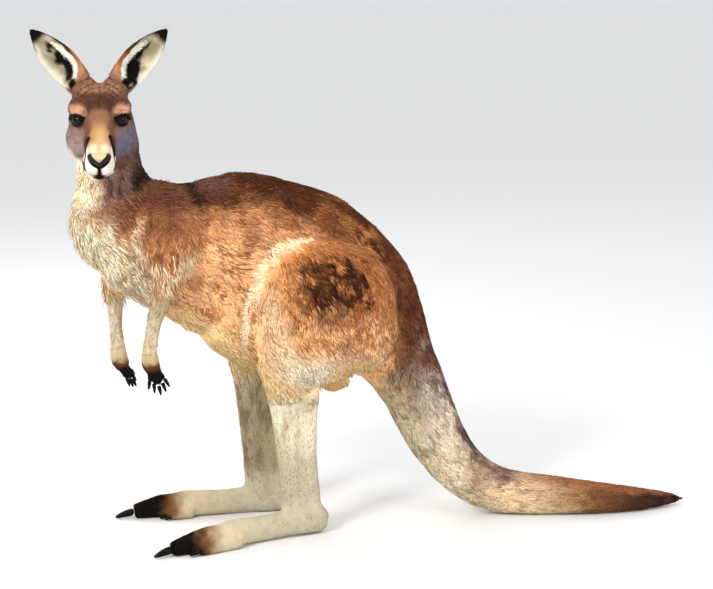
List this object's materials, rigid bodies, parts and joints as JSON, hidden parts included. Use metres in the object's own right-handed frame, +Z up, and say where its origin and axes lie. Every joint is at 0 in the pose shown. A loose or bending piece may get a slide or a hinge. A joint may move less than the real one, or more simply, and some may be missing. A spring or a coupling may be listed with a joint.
{
  "type": "kangaroo",
  "caption": "Life-size male red kangaroo standing at rest on long hind feet and tail, forearms hanging, head turned to its left with ears up; a still museum-style model.",
  "frame": {"origin": "floor point midway across the whole model's width and length, soles and tail resting at z = 0", "axes": "+Z up; -Y the way the chest and the feet point, so the model's length runs along Y; +X the animal's own left, the side its face is turned to"},
  "size_m": [0.4704, 1.7188, 1.2955],
  "materials": {
    "coat": "short tan-brown coat over the body, built as tufted fur on one skin",
    "pale_coat": "short cream fur of the shanks and forearms",
    "dark_coat": "sparse black fur and bare pads of hands and toes",
    "ear": "rust-brown backs with black rims, pale fur in the cup",
    "eye": "wet black-brown eye",
    "nose": "moist black pad",
    "claw": "black horn"
  },
  "bodies": {
    "root": {"abdomen": "coat", "chest": "coat", "ear_left": "ear", "ear_right": "ear", "eye_left": "eye", "eye_right": "eye", "finger_claw_left_1": "claw", "finger_claw_left_2": "claw", "finger_claw_left_3": "claw", "finger_claw_left_4": "claw", "finger_claw_left_5": "claw", "finger_claw_right_1": "claw", "finger_claw_right_2": "claw", "finger_claw_right_3": "claw", "finger_claw_right_4": "claw", "finger_claw_right_5": "claw", "foot_left": "pale_coat", "foot_right": "pale_coat", "forearm_left": "pale_coat", "forearm_right": "pale_coat", "hand_left": "dark_coat", "hand_right": "dark_coat", "head": "coat", "neck": "coat", "nose": "nose", "pelvis": "coat", "scrotum": "coat", "shank_left": "pale_coat", "shank_right": "pale_coat", "tail_end": "coat", "tail_middle": "coat", "tail_root": "coat", "tail_upper": "coat", "thigh_left": "coat", "thigh_right": "coat", "toe_claw_fifth_left": "claw", "toe_claw_fifth_right": "claw", "toe_claw_fourth_left": "claw", "toe_claw_fourth_right": "claw", "toe_claw_second_left": "claw", "toe_claw_second_right": "claw", "toe_claw_third_left": "claw", "toe_claw_third_right": "claw", "toes_left": "dark_coat", "toes_right": "dark_coat", "upper_arm_left": "coat", "upper_arm_right": "coat"}
  },
  "joints": []
}
